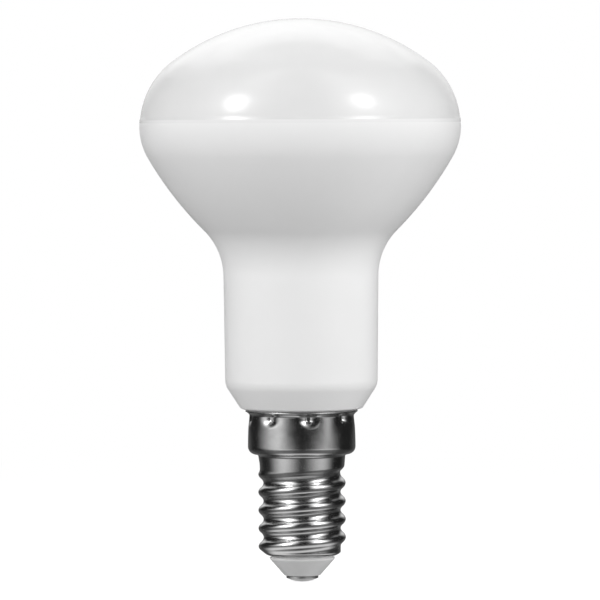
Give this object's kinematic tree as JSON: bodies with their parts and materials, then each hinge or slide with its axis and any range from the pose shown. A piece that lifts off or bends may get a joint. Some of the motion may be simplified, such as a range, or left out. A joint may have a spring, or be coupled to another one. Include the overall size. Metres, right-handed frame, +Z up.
{
  "type": "reflector bulb",
  "caption": "Reflector bulb with a white moulded head, a shallow opal diffuser dome, a slim neck and a small plated screw cap that ends in a centre contact.",
  "frame": {"origin": "tip of the centre contact, on the axis of the bulb", "axes": "+Z up the axis from the screw cap to the diffuser dome; +X and +Y are across it, and a thread crest passes +X level with the lip of the shell"},
  "size_m": [0.05, 0.05, 0.0877],
  "materials": {
    "opal_diffuser": "opal white, satin gloss",
    "white_housing": "white, satin",
    "plated_shell": "nickel plated, drawn and rolled",
    "cap_insulator": "pale grey, satin",
    "contact_metal": "plated, slightly dull"
  },
  "bodies": {
    "root": {"diffuser_dome": "opal_diffuser", "reflector_housing": "white_housing", "screw_shell": "plated_shell", "base_insulator": "cap_insulator", "centre_contact": "contact_metal"}
  },
  "joints": []
}
